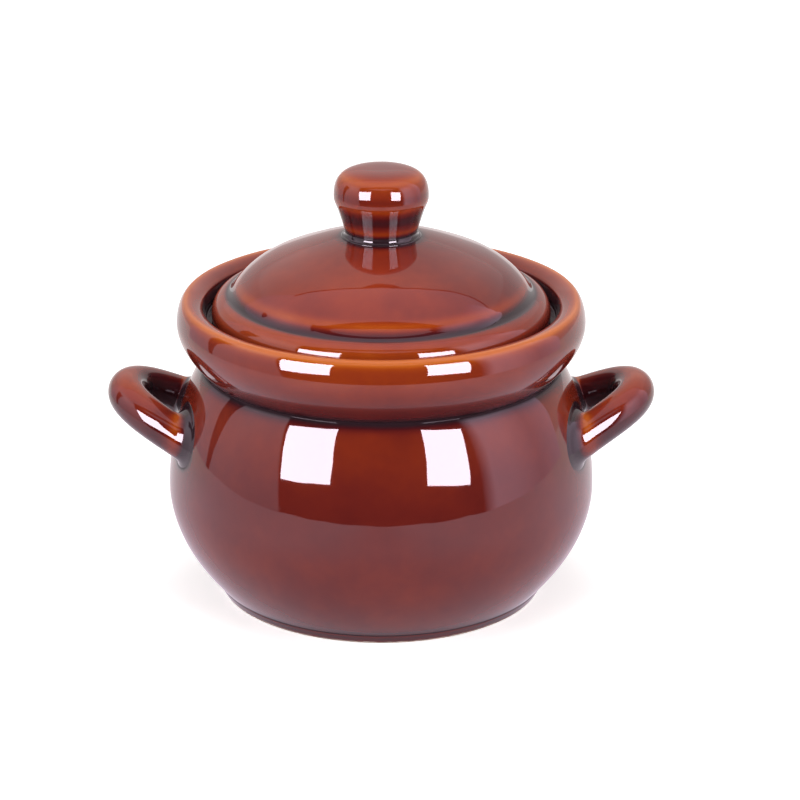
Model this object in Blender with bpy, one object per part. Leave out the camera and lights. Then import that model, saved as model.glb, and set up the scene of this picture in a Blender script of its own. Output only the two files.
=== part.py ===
"""Lidded ceramic casserole pot: turned body, two luted ear handles, domed lid and lid knob.

Sizes are in millimetres and become metres in the meshes. The pot stands on z = 0, its axis is z,
and the ear handles point along x.
"""

import math

import bmesh
import bpy
from mathutils import Matrix, Vector

MM = 0.001

# Foot and belly
FOOT_RADIUS = 69.1
FOOT_RING_WIDTH = 8.0
FOOT_RECESS = 2.5
FOOT_EDGE = 0.8
FOOT_BAND_HEIGHT = 4.1
FOOT_BAND_FLARE = 2.2
FOOT_DENT = 0.3
BELLY_RADIUS = 90.5
BELLY_HEIGHT = 53.6
BELLY_START_ANGLE = math.radians(54.0)
BELLY_START_REACH = 11.8
BELLY_LOWER_REACH = 24.9
BELLY_UPPER_REACH = 9.4
WALL = 6.5
FLOOR_THICKNESS = 8.0
FLOOR_FLAT_RADIUS = 44.0
FLOOR_CORNER_REACH = 20.0

# Neck crease and rolled collar above it
NECK_INSET = 14.7
NECK_HEIGHT = 99.3
NECK_IN_ANGLE = math.radians(125.0)
NECK_IN_REACH = 14.2
NECK_OUT_ANGLE = math.radians(35.9)
NECK_OUT_REACH = 7.5
NECK_FILLET = 1.1
NECK_WALL = 7.3
COLLAR_OVERHANG = 9.2
COLLAR_WIDEST = 20.3
COLLAR_HEIGHT = 28.7
COLLAR_LOWER_REACH = 2.0
COLLAR_UPPER_REACH = 2.5
COLLAR_CREST_REACH = 3.7

# Gallery inside the collar, where the lid stands
LEDGE_WIDTH = 4.8
LEDGE_DEPTH = 9.2
LEDGE_FILLET = 1.0
THROAT_HEIGHT = 13.0
THROAT_REACH = 8.0
GALLERY_DRAFT = 2.8
GALLERY_TOP = 2.9

# Lid
SEAT_GAP = 0.3
LID_PLAY = 2.1
LID_WALL = 6.0
FLANGE_EDGE = 1.3
FLANGE_SEAT_WIDTH = 6.0
FLANGE_FACE = 2.1
FLANGE_HEIGHT = 10.75
FLANGE_ROLL_REACH = 3.5
FLANGE_TOP_WIDTH = 6.5
FLANGE_TOP_REACH = 5.0
FLANGE_TOP_ANGLE = math.radians(171.0)
GROOVE_WIDTH = 0.8
GROOVE_DEPTH = 0.35
DOME_INSET = 8.1
DOME_STEP = 0.95
DOME_RISE = 25.4
DOME_SIDE_ANGLE = math.radians(125.3)
DOME_SIDE_REACH = 10.6
DOME_SHOULDER_INSET = 19.1
DOME_SHOULDER_RISE = 14.9
DOME_SHOULDER_ANGLE = math.radians(157.6)
DOME_SHOULDER_LOWER_REACH = 5.6
DOME_SHOULDER_UPPER_REACH = 20.8
DOME_CROWN_REACH = 12.6

# Knob
KNOB_FOOT_FLARE = 1.6
KNOB_FOOT_HEIGHT = 1.0
KNOB_STEM_RADIUS = 15.2
KNOB_STEM_HEIGHT = 8.1
KNOB_STEM_TAPER = 2.6
KNOB_RADIUS = 19.8
KNOB_UNDERCUT = 6.4
KNOB_CAP_HEIGHT = 12.0
KNOB_CAP_SIDE_REACH = 11.2
KNOB_CAP_CROWN_REACH = 12.9

# Ear handles
HANDLE_HEIGHT = 74.0
HANDLE_RISE = 11.8
HANDLE_SPAN = 45.0
HANDLE_REACH = 20.8
HANDLE_THICKNESS = 16.2
HANDLE_TURN_IN = math.radians(6.0)
HANDLE_CLIMB = math.radians(27.0)
HANDLE_LEG_REACH = 14.0
HANDLE_BOW_REACH = 14.5
HANDLE_FLARE = 1.8
HANDLE_FLARE_LENGTH = 6.0
HANDLE_SUNK = 6.0

# Facets
ROUND_STEPS = 56
KNOB_STEPS = 32
HANDLE_STEPS = 16
HANDLE_RINGS = 25

# Places that follow from the sizes
NECK_RADIUS = BELLY_RADIUS - NECK_INSET
COLLAR_RADIUS = NECK_RADIUS + COLLAR_OVERHANG
COLLAR_TOP = NECK_HEIGHT + COLLAR_HEIGHT
THROAT_RADIUS = NECK_RADIUS - NECK_WALL
LEDGE_TOP = COLLAR_TOP - LEDGE_DEPTH
GALLERY_RADIUS = THROAT_RADIUS + LEDGE_WIDTH
GALLERY_EDGE_RADIUS = GALLERY_RADIUS + GALLERY_DRAFT
COLLAR_CREST_RADIUS = (COLLAR_RADIUS + GALLERY_EDGE_RADIUS) / 2
FLANGE_RADIUS = GALLERY_RADIUS - LID_PLAY
FLANGE_BOTTOM = LEDGE_TOP + SEAT_GAP
DOME_RADIUS = FLANGE_RADIUS - DOME_INSET
DOME_BASE = FLANGE_BOTTOM + FLANGE_HEIGHT + DOME_STEP
DOME_TOP = DOME_BASE + DOME_RISE


def away(point, angle, distance):
    """The point that lies a distance from another, along an angle in the profile's plane."""
    return (point[0] + math.cos(angle) * distance, point[1] + math.sin(angle) * distance)


def bezier(start, start_handle, end_handle, end, count):
    """Points of a cubic curve, without its first point, so that stretches can follow each other."""
    points = []
    for step in range(1, count + 1):
        t = step / count
        weights = ((1 - t) ** 3, 3 * t * (1 - t) ** 2, 3 * t * t * (1 - t), t ** 3)
        corners = (start, start_handle, end_handle, end)
        points.append(tuple(sum(w * c[axis] for w, c in zip(weights, corners)) for axis in range(len(start))))
    return points


def fillet(corner, angle_in, angle_out, size, count):
    """A small round that leaves one straight run and joins the next."""
    start = away(corner, angle_in, -size)
    end = away(corner, angle_out, size)
    return [start] + bezier(start, corner, corner, end, count)


def outer_belly():
    """The outside from the foot band to the neck crease."""
    start = (FOOT_RADIUS + FOOT_BAND_FLARE + FOOT_DENT, FOOT_BAND_HEIGHT + 2 * FOOT_DENT)
    widest = (BELLY_RADIUS, BELLY_HEIGHT)
    crease = (NECK_RADIUS, NECK_HEIGHT)
    neck_start = away(crease, NECK_IN_ANGLE, -NECK_FILLET)
    points = [start]
    points += bezier(start, away(start, BELLY_START_ANGLE, BELLY_START_REACH),
                     (BELLY_RADIUS, BELLY_HEIGHT - BELLY_LOWER_REACH), widest, 10)
    points += bezier(widest, (BELLY_RADIUS, BELLY_HEIGHT + BELLY_UPPER_REACH),
                     away(neck_start, NECK_IN_ANGLE, -NECK_IN_REACH), neck_start, 9)
    return points


def collar():
    """The outside from the neck crease, over the rolled collar, to the gallery's edge."""
    crease = (NECK_RADIUS, NECK_HEIGHT)
    neck_end = away(crease, NECK_OUT_ANGLE, NECK_FILLET)
    widest = (COLLAR_RADIUS, NECK_HEIGHT + COLLAR_WIDEST)
    crest = (COLLAR_CREST_RADIUS, COLLAR_TOP)
    edge = (GALLERY_EDGE_RADIUS, COLLAR_TOP - GALLERY_TOP)
    points = fillet(crease, NECK_IN_ANGLE, NECK_OUT_ANGLE, NECK_FILLET, 3)[1:]
    points += bezier(neck_end, away(neck_end, NECK_OUT_ANGLE, NECK_OUT_REACH),
                     (COLLAR_RADIUS, widest[1] - COLLAR_LOWER_REACH), widest, 7)
    points += bezier(widest, (COLLAR_RADIUS, widest[1] + COLLAR_UPPER_REACH),
                     (crest[0] + COLLAR_CREST_REACH, COLLAR_TOP), crest, 5)
    points += bezier(crest, (crest[0] - COLLAR_CREST_REACH, COLLAR_TOP),
                     (edge[0], edge[1] + GALLERY_TOP / 2), edge, 4)
    return points


def body_profile():
    """The pot's whole section, from the middle of its underside to the middle of its floor."""
    ring_inner = FOOT_RADIUS - FOOT_RING_WIDTH
    band_radius = FOOT_RADIUS + FOOT_BAND_FLARE
    throat_end = (THROAT_RADIUS, LEDGE_TOP - THROAT_HEIGHT)
    inner_widest = (BELLY_RADIUS - WALL, BELLY_HEIGHT)
    floor_top = FOOT_RECESS + FLOOR_THICKNESS
    floor_edge = (FLOOR_FLAT_RADIUS, floor_top)
    points = [(0.0, FOOT_RECESS), (ring_inner - 2 * FOOT_RECESS, FOOT_RECESS), (ring_inner, FOOT_EDGE),
              (ring_inner + FOOT_EDGE, 0.0), (FOOT_RADIUS - FOOT_EDGE, 0.0), (FOOT_RADIUS, FOOT_EDGE),
              (band_radius - FOOT_DENT, FOOT_BAND_HEIGHT * 0.6), (band_radius, FOOT_BAND_HEIGHT - FOOT_DENT),
              (band_radius - FOOT_DENT / 2, FOOT_BAND_HEIGHT + FOOT_DENT)]
    points += outer_belly()
    points += collar()
    points += [(GALLERY_RADIUS, LEDGE_TOP + LEDGE_FILLET), (GALLERY_RADIUS - LEDGE_FILLET, LEDGE_TOP),
               (THROAT_RADIUS + LEDGE_FILLET, LEDGE_TOP), (THROAT_RADIUS, LEDGE_TOP - LEDGE_FILLET), throat_end]
    points += bezier(throat_end, (THROAT_RADIUS, throat_end[1] - THROAT_REACH),
                     (inner_widest[0], BELLY_HEIGHT + BELLY_UPPER_REACH), inner_widest, 7)
    points += bezier(inner_widest, (inner_widest[0], BELLY_HEIGHT - BELLY_LOWER_REACH),
                     (floor_edge[0] + FLOOR_CORNER_REACH, floor_top), floor_edge, 8)
    points.append((0.0, floor_top))
    return points


def outside(grow):
    """A closed section of the pot's outside, grown by a gap, to cut what seats on it."""
    points = outer_belly() + collar()
    grown = [(0.0, 0.0), (points[0][0] + grow, 0.0)]
    for before, here, after in zip(points, points[1:], points[2:]):
        run = Vector((after[0] - before[0], after[1] - before[1])).normalized()
        grown.append((here[0] + run.y * grow, here[1] - run.x * grow))
    grown.append((0.0, COLLAR_TOP))
    return grown


def outside_radius(height):
    """The pot's outer radius at a height on the belly or shoulder."""
    points = outer_belly()
    for low, high in zip(points, points[1:]):
        if low[1] <= height <= high[1]:
            share = (height - low[1]) / (high[1] - low[1])
            return low[0] + (high[0] - low[0]) * share
    return NECK_RADIUS if height > BELLY_HEIGHT else points[0][0]


def dome(inset, count):
    """The lid's dome from the groove to the crown, or the surface a wall's thickness inside it."""
    shrink = 1.0 - inset / DOME_RADIUS
    start = away((DOME_RADIUS, DOME_BASE), DOME_SIDE_ANGLE - math.pi / 2, -inset)
    shoulder = away((DOME_RADIUS - DOME_SHOULDER_INSET, DOME_BASE + DOME_SHOULDER_RISE),
                    DOME_SHOULDER_ANGLE - math.pi / 2, -inset)
    crown = (0.0, DOME_TOP - inset)
    side = bezier(start, away(start, DOME_SIDE_ANGLE, DOME_SIDE_REACH * shrink),
                  away(shoulder, DOME_SHOULDER_ANGLE, -DOME_SHOULDER_LOWER_REACH * shrink), shoulder, count // 2)
    top = bezier(shoulder, away(shoulder, DOME_SHOULDER_ANGLE, DOME_SHOULDER_UPPER_REACH * shrink),
                 (DOME_CROWN_REACH * shrink, crown[1]), crown, count - count // 2)
    return [start] + side + top


def dome_height(radius, points):
    """The height of a dome's polyline at a radius."""
    for outer, inner in zip(points, points[1:]):
        if inner[0] <= radius <= outer[0]:
            share = (outer[0] - radius) / (outer[0] - inner[0])
            return outer[1] + (inner[1] - outer[1]) * share
    return points[-1][1]


def lid_profile():
    """The lid's section, from the crown's underside round the flange to the crown."""
    inner = dome(LID_WALL, 8)
    seat_inner = FLANGE_RADIUS - FLANGE_EDGE - FLANGE_SEAT_WIDTH
    face = (FLANGE_RADIUS, FLANGE_BOTTOM + FLANGE_FACE)
    top = (FLANGE_RADIUS - FLANGE_TOP_WIDTH, FLANGE_BOTTOM + FLANGE_HEIGHT)
    groove = (DOME_RADIUS + GROOVE_WIDTH, top[1] - GROOVE_DEPTH)
    points = list(reversed(inner))
    points += bezier(inner[0], away(inner[0], DOME_SIDE_ANGLE, -FLANGE_HEIGHT / 3),
                     (seat_inner, FLANGE_BOTTOM + FLANGE_HEIGHT / 3), (seat_inner, FLANGE_BOTTOM + FLANGE_EDGE), 3)
    points += [(seat_inner + FLANGE_EDGE, FLANGE_BOTTOM), (FLANGE_RADIUS - FLANGE_EDGE, FLANGE_BOTTOM),
               (FLANGE_RADIUS - FLANGE_EDGE / 4, FLANGE_BOTTOM + FLANGE_EDGE * 0.8), face]
    points += bezier(face, (FLANGE_RADIUS, face[1] + FLANGE_ROLL_REACH),
                     away(top, FLANGE_TOP_ANGLE, -FLANGE_TOP_REACH), top, 9)
    points.append(groove)
    points += dome(0.0, 15)
    return points


def knob_profile():
    """The knob's section, from the middle of its seat on the dome to the middle of its cap."""
    surface = dome(0.0, 15)
    foot_radius = KNOB_STEM_RADIUS + KNOB_FOOT_FLARE
    foot = (foot_radius, dome_height(foot_radius, surface) + SEAT_GAP)
    stem_base = (KNOB_STEM_RADIUS, DOME_TOP + KNOB_FOOT_HEIGHT)
    stem_top = (KNOB_STEM_RADIUS + KNOB_STEM_TAPER, stem_base[1] + KNOB_STEM_HEIGHT)
    widest = (KNOB_RADIUS, stem_top[1] + KNOB_UNDERCUT)
    cap = (0.0, widest[1] + KNOB_CAP_HEIGHT)
    taper = math.atan2(KNOB_STEM_HEIGHT, KNOB_STEM_TAPER)
    points = [(r, z + SEAT_GAP) for r, z in reversed(surface) if r < foot_radius]
    points.append(foot)
    points += bezier(foot, (foot[0] - KNOB_FOOT_FLARE * 2 / 3, foot[1] + KNOB_FOOT_HEIGHT / 4),
                     away(stem_base, taper, -KNOB_FOOT_HEIGHT), stem_base, 4)
    points += bezier(stem_base, away(stem_base, taper, KNOB_STEM_HEIGHT / 3),
                     away(stem_top, taper, -KNOB_STEM_HEIGHT / 3), stem_top, 2)
    points += bezier(stem_top, away(stem_top, taper, KNOB_UNDERCUT / 2),
                     (KNOB_RADIUS, widest[1] - KNOB_UNDERCUT / 3), widest, 3)
    points += bezier(widest, (KNOB_RADIUS, widest[1] + KNOB_CAP_SIDE_REACH),
                     (KNOB_CAP_CROWN_REACH, cap[1]), cap, 8)
    return points


def handle_path():
    """The ear's centre line: out of the shoulder, round the bow and back, as points in millimetres."""
    half_span = HANDLE_SPAN / 2
    surface = outside_radius(HANDLE_HEIGHT)
    root_x = math.sqrt(max(surface ** 2 - half_span ** 2, (surface / 2) ** 2))
    bow = (surface + HANDLE_REACH, 0.0, HANDLE_HEIGHT + HANDLE_RISE)
    root = Vector((root_x, -half_span, HANDLE_HEIGHT))
    leg = Vector((math.cos(HANDLE_CLIMB) * math.cos(HANDLE_TURN_IN),
                  math.cos(HANDLE_CLIMB) * math.sin(HANDLE_TURN_IN), math.sin(HANDLE_CLIMB)))
    half = [tuple(root - leg * HANDLE_SUNK), tuple(root)]
    half += bezier(half[-1], tuple(root + leg * HANDLE_LEG_REACH), (bow[0], -HANDLE_BOW_REACH, bow[2]), bow,
                   HANDLE_RINGS // 2 - 1)
    return half + [(x, -y, z) for x, y, z in reversed(half[:-1])]


def material(name, color, roughness):
    """A glaze as one plain Principled colour."""
    glaze = bpy.data.materials.new(name)
    glaze.use_nodes = True
    shader = glaze.node_tree.nodes["Principled BSDF"]
    shader.inputs["Base Color"].default_value = (*color, 1.0)
    shader.inputs["Roughness"].default_value = roughness
    shader.inputs["Metallic"].default_value = 0.0
    return glaze


def finish(name, bm, glaze):
    """Turn a bmesh into a smooth-shaded object with one material."""
    bmesh.ops.recalc_face_normals(bm, faces=bm.faces)
    mesh = bpy.data.meshes.new(name)
    bm.to_mesh(mesh)
    bm.free()
    mesh.shade_smooth()
    mesh.set_sharp_from_angle(angle=math.radians(40.0))
    if glaze:
        mesh.materials.append(glaze)
    made = bpy.data.objects.new(name, mesh)
    bpy.context.collection.objects.link(made)
    return made


def turned(name, profile, steps, glaze):
    """A solid of revolution about z from a section that starts and ends on the axis."""
    bm = bmesh.new()
    verts = [bm.verts.new((r * MM, 0.0, z * MM)) for r, z in profile]
    edges = [bm.edges.new(pair) for pair in zip(verts, verts[1:])]
    bmesh.ops.spin(bm, geom=verts + edges, cent=(0, 0, 0), axis=(0, 0, 1), angle=math.tau, steps=steps,
                   use_merge=True, use_duplicate=False)
    bmesh.ops.remove_doubles(bm, verts=bm.verts, dist=1e-6)
    return finish(name, bm, glaze)


def ring_radius(point):
    """The handle's section radius, which flares where the leg meets the shoulder."""
    depth = math.hypot(point[0], point[1]) - outside_radius(min(point[2], NECK_HEIGHT))
    return HANDLE_THICKNESS / 2 + HANDLE_FLARE * math.exp(-max(depth, 0.0) / HANDLE_FLARE_LENGTH)


def handle(name, side, seat, glaze):
    """An ear swept along its centre line, with its two ends cut to the shoulder they are luted to."""
    path = [Vector(point) for point in handle_path()]
    bm = bmesh.new()
    rings = []
    for index, here in enumerate(path):
        before = path[max(index - 1, 0)]
        after = path[min(index + 1, len(path) - 1)]
        tangent = (after - before).normalized()
        across = tangent.cross(Vector((0.0, 0.0, 1.0))).normalized()
        up = across.cross(tangent)
        place = Matrix((across, up, tangent)).transposed().to_4x4()
        place.translation = here * MM
        made = bmesh.ops.create_circle(bm, segments=HANDLE_STEPS, radius=ring_radius(here) * MM, matrix=place)
        rings.append(made["verts"])
    for lower, upper in zip(rings, rings[1:]):
        edges = {edge for ring in (lower, upper) for vert in ring for edge in vert.link_edges
                 if edge.other_vert(vert) in ring}
        bmesh.ops.bridge_loops(bm, edges=list(edges))
    for ring in (rings[0], rings[-1]):
        bmesh.ops.contextual_create(bm, geom=ring)
    if side < 0:
        bmesh.ops.scale(bm, vec=(-1.0, 1.0, 1.0), verts=bm.verts)
    made = finish(name, bm, glaze)
    cut = made.modifiers.new("seat on the shoulder", "BOOLEAN")
    cut.operation = "DIFFERENCE"
    cut.solver = "EXACT"
    cut.object = seat
    return made


def build():
    for old in list(bpy.data.objects):
        bpy.data.objects.remove(old, do_unlink=True)
    turned("pot_body", body_profile(), ROUND_STEPS, material("body_glaze", (0.20, 0.034, 0.020), 0.08))
    turned("lid", lid_profile(), ROUND_STEPS, material("lid_glaze", (0.24, 0.048, 0.024), 0.08))
    turned("lid_knob", knob_profile(), KNOB_STEPS, material("knob_glaze", (0.24, 0.052, 0.016), 0.08))
    seat = turned("shoulder_cutter", outside(SEAT_GAP), ROUND_STEPS, None)
    seat.hide_render = True
    seat.display_type = "WIRE"
    for name, side in (("handle_left", -1), ("handle_right", 1)):
        handle(name, side, seat, material(name + "_glaze", (0.22, 0.042, 0.020), 0.08))


build()
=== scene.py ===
"""Looks of a lidded ceramic casserole pot: turned body, two ear handles, domed lid and mushroom knob.

Sizes are in metres. The pot stands on z = 0, its axis is z and the ear handles point along x.
"""

import math

import bmesh
import bpy
import numpy as np
from bpy.props import FloatProperty, FloatVectorProperty, IntProperty, PointerProperty
from mathutils import Matrix, Vector, noise


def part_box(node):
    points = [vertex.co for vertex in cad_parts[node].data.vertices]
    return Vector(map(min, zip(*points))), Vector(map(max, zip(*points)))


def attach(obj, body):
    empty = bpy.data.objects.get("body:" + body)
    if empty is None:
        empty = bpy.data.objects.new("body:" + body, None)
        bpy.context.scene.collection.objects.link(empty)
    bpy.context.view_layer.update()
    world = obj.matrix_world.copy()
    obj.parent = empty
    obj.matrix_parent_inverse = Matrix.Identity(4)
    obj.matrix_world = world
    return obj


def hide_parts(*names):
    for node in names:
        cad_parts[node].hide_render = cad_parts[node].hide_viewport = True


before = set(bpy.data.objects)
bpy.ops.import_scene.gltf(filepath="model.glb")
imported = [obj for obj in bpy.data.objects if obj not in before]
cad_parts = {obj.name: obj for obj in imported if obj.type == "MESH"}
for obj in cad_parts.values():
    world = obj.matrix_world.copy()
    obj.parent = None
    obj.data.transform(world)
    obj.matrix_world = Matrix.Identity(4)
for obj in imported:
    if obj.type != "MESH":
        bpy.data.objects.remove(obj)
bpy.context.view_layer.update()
_, POT_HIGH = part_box("pot_body")
LID_LOW, LID_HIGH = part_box("lid")
_, KNOB_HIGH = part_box("lid_knob")

bl_info = {
    "name": "Casserole Pot",
    "version": (1, 0, 0),
    "blender": (4, 5, 0),
    "location": "3D View > Sidebar > Casserole",
    "description": "Glazed stoneware casserole pot with a fitted lid, in a white studio",
    "category": "Object",
}

MM = 0.001
RUN_AND_SHADE = "glaze_run_and_shade"
ROOM_TINT = (1.0, 0.86, 1.0)
RIGHT_TINT = (1.0, 0.80, 1.0)
FAR_TINT = (1.0, 0.94, 0.94)

# How far the handles of the sections' curves reach
BELLY_START_REACH = 2.2 * MM
BELLY_LOWER_REACH = 22.1 * MM
BELLY_UPPER_REACH = 17.6 * MM
SHOULDER_REACH = 14.0 * MM
COLLAR_START_REACH = 4.1 * MM
COLLAR_LOWER_REACH = 8.35 * MM
COLLAR_UPPER_REACH = 3.0 * MM
CREST_OUTER_REACH = 2.7 * MM
CREST_INNER_REACH = 3.2 * MM
THROAT_REACH = 8.0 * MM
FLOOR_CORNER_REACH = 20.0 * MM
DOME_START_REACH = 10.6 * MM
DOME_SIDE_REACH = 5.6 * MM
DOME_UPPER_REACH = 20.8 * MM
DOME_CROWN_REACH = 12.6 * MM
FLANGE_ROLL_REACH = 3.5 * MM
FLANGE_TOP_REACH = 5.0 * MM
GROOVE_OUTER_REACH = 1.4 * MM
GROOVE_INNER_REACH = 1.6 * MM
KNOB_FOOT_REACH = 1.3 * MM
CAP_SIDE_REACH = 11.2 * MM
CAP_TOP_REACH = 12.9 * MM

# Places of the sections where the glaze is thicker or thinner, as paint_run reads them. The body's band at
# radius 73.5 mm, height 119.5 mm, is painted shade that darkens the gallery, in the gap between pot and lid.
BODY_BANDS = ((82.0, 127.6, 2.8, 1.15, -0.3), (85.5, 121.5, 6.0, 0.13, -2.5), (79.5, 104.0, 5.0, -0.6, 0.0),
              (76.3, 99.2, 2.4, -1.5, 0.0), (81.5, 91.0, 11.0, 0.25, 0.0), (90.0, 62.0, 16.0, -0.15, 0.0),
              (73.5, 119.5, 4.5, -2.8, 0.0), (71.0, 4.0, 3.5, -0.9, 0.0))
LID_BANDS = ((63.2, 130.9, 2.0, -1.2, 0.35), (60.2, 134.4, 2.3, 0.7, -0.2), (70.0, 126.0, 3.5, 0.4, -0.4),
             (45.0, 146.0, 22.0, 0.15, -1.0), (16.8, 154.6, 1.6, -1.3, 0.0))
KNOB_BANDS = ((16.0, 155.8, 1.6, -2.5, 0.0), (15.8, 159.3, 1.2, 0.65, 0.0), (17.4, 164.6, 2.6, -1.4, 0.0),
              (19.3, 169.4, 1.2, 0.3, 0.0), (19.7, 173.7, 1.6, -0.3, 0.0), (16.5, 180.9, 2.5, 0.6, 0.0))


def length(name, millimetres, description):
    """A size that a user can change."""
    return FloatProperty(name=name, description=description, default=millimetres * MM, min=0.0,
                         precision=5, subtype="DISTANCE", unit="LENGTH")


def angle(name, degrees, description):
    """An angle that a user can change."""
    return FloatProperty(name=name, description=description, default=math.radians(degrees),
                         subtype="ANGLE", unit="ROTATION")


def count(name, default, description):
    """A number of steps that a user can change."""
    return IntProperty(name=name, description=description, default=default, min=3, soft_max=512)


def amount(name, default, description):
    """A plain number that a user can change."""
    return FloatProperty(name=name, description=description, default=default, min=0.0)


def color(name, default, description):
    """A linear colour that a user can change."""
    return FloatVectorProperty(name=name, description=description, default=default, size=3,
                               min=0.0, max=1.0, subtype="COLOR")


class PotSizes(bpy.types.PropertyGroup):
    """The turned body, from its foot to the gallery in its collar."""
    foot_radius: length("Foot radius", 69.1, "Outer radius of the standing ring")
    foot_ring_width: length("Foot ring width", 8.0, "Width of the standing ring")
    foot_recess: length("Foot recess", 2.5, "Height of the recess inside the standing ring")
    foot_edge: length("Foot edge", 0.8, "Size of the standing ring's edges")
    band_height: length("Foot band height", 4.1, "Height of the band above the foot")
    band_flare: length("Foot band flare", 2.2, "How far the band's top leans out")
    band_dent: length("Foot band dent", 0.3, "Size of the line above the band")
    belly_radius: length("Belly radius", POT_HIGH.x / MM, "Widest radius of the belly")
    belly_height: length("Belly height", 45.8, "Height of the widest place")
    belly_angle: angle("Belly start angle", 59.0, "Slope of the belly above the foot")
    wall: length("Wall", 6.5, "Thickness of the wall")
    floor_thickness: length("Floor thickness", 8.0, "Thickness of the floor")
    floor_flat_radius: length("Floor flat radius", 44.0, "Radius of the flat middle of the floor")
    neck_inset: length("Neck inset", 14.7, "How far the neck is pinched in from the belly")
    neck_height: length("Neck height", 99.3, "Height of the neck crease")
    neck_in_angle: angle("Shoulder angle", 125.0, "Slope of the shoulder below the neck crease")
    neck_out_angle: angle("Collar angle", 52.0, "Slope of the collar above the neck crease")
    neck_fillet: length("Neck fillet", 0.8, "Size of the round that the glaze leaves in the neck crease")
    neck_wall: length("Neck wall", 7.3, "Thickness of the wall at the neck")
    collar_overhang: length("Collar overhang", 10.1, "How far the collar stands out over the neck")
    collar_widest: length("Collar widest height", 18.95, "Height of the collar's widest place over the neck")
    collar_top: length("Collar top", POT_HIGH.z / MM, "Height of the collar's crest")
    ledge_width: length("Ledge width", 4.8, "Width of the ledge that the lid stands on")
    ledge_depth: length("Ledge depth", 9.2, "Depth of the ledge under the crest")
    ledge_fillet: length("Ledge fillet", 1.0, "Size of the ledge's rounds")
    throat_height: length("Throat height", 13.0, "Height of the plain throat under the ledge")
    crest_inset: length("Crest inset", 4.15, "How far the crest lies inside the collar's widest place")
    gallery_draft: length("Gallery draft", 1.4, "How far the gallery wall leans out")
    gallery_top: length("Gallery top", 3.8, "Height of the crest over the gallery's edge")
    steps: count("Steps", 256, "Steps round the body and the lid")


class LidSizes(bpy.types.PropertyGroup):
    """The lid with its flange, groove and dome."""
    flange_radius: length("Flange radius", LID_HIGH.x / MM, "Outer radius of the flange")
    flange_bottom: length("Flange bottom", LID_LOW.z / MM, "Height of the flange's seat")
    wall: length("Wall", 6.0, "Thickness of the lid's wall")
    flange_edge: length("Flange edge", 1.3, "Size of the flange's lower edges")
    seat_width: length("Seat width", 6.0, "Width of the flange's seat")
    flange_face: length("Flange face", 2.1, "Height of the flange's upright face")
    flange_height: length("Flange height", 10.75, "Height of the flange's inner edge over its seat")
    flange_top: length("Flange top width", 6.5, "Width of the flange's sloping top")
    flange_slope: angle("Flange slope", 171.0, "Slope of the flange's top beside the groove")
    groove_fill: length("Groove fill", 2.1, "How far the glaze rounds the groove up the dome's side")
    dome_inset: length("Dome inset", 8.1, "How far the dome starts inside the flange's edge")
    dome_step: length("Dome step", 0.95, "Height of the dome's start over the flange's inner edge")
    dome_angle: angle("Dome side angle", 125.3, "Slope of the dome's side")
    shoulder_inset: length("Shoulder inset", 19.1, "How far the dome's shoulder lies inside the dome's start")
    shoulder_rise: length("Shoulder rise", 14.9, "How far the dome's shoulder lies over the dome's start")
    shoulder_angle: angle("Shoulder angle", 157.6, "Slope of the dome's shoulder")
    dome_top: length("Dome top", LID_HIGH.z / MM, "Height of the dome's crown")


class KnobSizes(bpy.types.PropertyGroup):
    """The mushroom knob on the lid."""
    foot_flare: length("Foot flare", 1.6, "How far the knob's foot spreads over the dome")
    foot_height: length("Foot height", 1.0, "Height of the stem's base over the crown")
    seat_gap: length("Seat gap", 0.3, "Gap between the knob and the dome")
    foot_sunk: length("Foot sunk", 0.05, "How deep the foot's edge lies in the dome's glaze")
    stem_radius: length("Stem radius", 15.2, "Radius of the stem at its base")
    stem_height: length("Stem height", 8.1, "Height of the stem")
    stem_taper: length("Stem taper", 2.6, "How much wider the stem is at its top")
    cap_radius: length("Cap radius", KNOB_HIGH.x / MM, "Widest radius of the cap")
    undercut: length("Undercut", 6.4, "Height of the cap's rounded lower side")
    cap_top: length("Cap top", KNOB_HIGH.z / MM, "Height of the cap's middle")
    steps: count("Steps", 144, "Steps round the knob")


class EarSizes(bpy.types.PropertyGroup):
    """The two ear handles on the shoulder."""
    height: length("Root height", 73.1, "Height at which the legs leave the shoulder")
    rise: length("Rise", 12.9, "How much higher the bow is than the roots")
    span: length("Span", 49.0, "Distance between the middles of the two roots")
    reach: length("Reach", 20.8, "How far the bow's middle stands out from the shoulder")
    thickness: length("Thickness", 16.2, "Thickness of the rolled clay")
    turn_in: angle("Turn in", 18.0, "How much the legs lean towards each other")
    right_turn_in: angle("Right turn in", 26.0, "How much the right ear's legs lean towards each other")
    climb: angle("Climb", 27.0, "How steeply the legs climb")
    leg_reach: length("Leg reach", 14.0, "How long the legs run straight")
    bow_reach: length("Bow reach", 14.5, "How far the bow's round spreads")
    flare: length("Flare", 0.5, "How much thicker the legs are at the shoulder")
    flare_length: length("Flare length", 4.0, "Length over which the legs thicken")
    fillet: length("Fillet", 3.0, "Radius of the round between leg and shoulder")
    top_fillet: length("Top fillet", 6.0, "Radius of that round on top of the leg")
    crotch_fillet: length("Crotch fillet", 7.5, "Radius of that round on the inside of the ear")
    low_fillet: length("Low fillet", 1.2, "Radius of that round under the leg")
    sunk: length("Sunk", 0.9, "How deep the end of a leg lies under the shoulder's surface")
    segments: count("Segments", 64, "Segments round the section")
    rings: count("Rings", 60, "Rings along each half of an ear")


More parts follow.
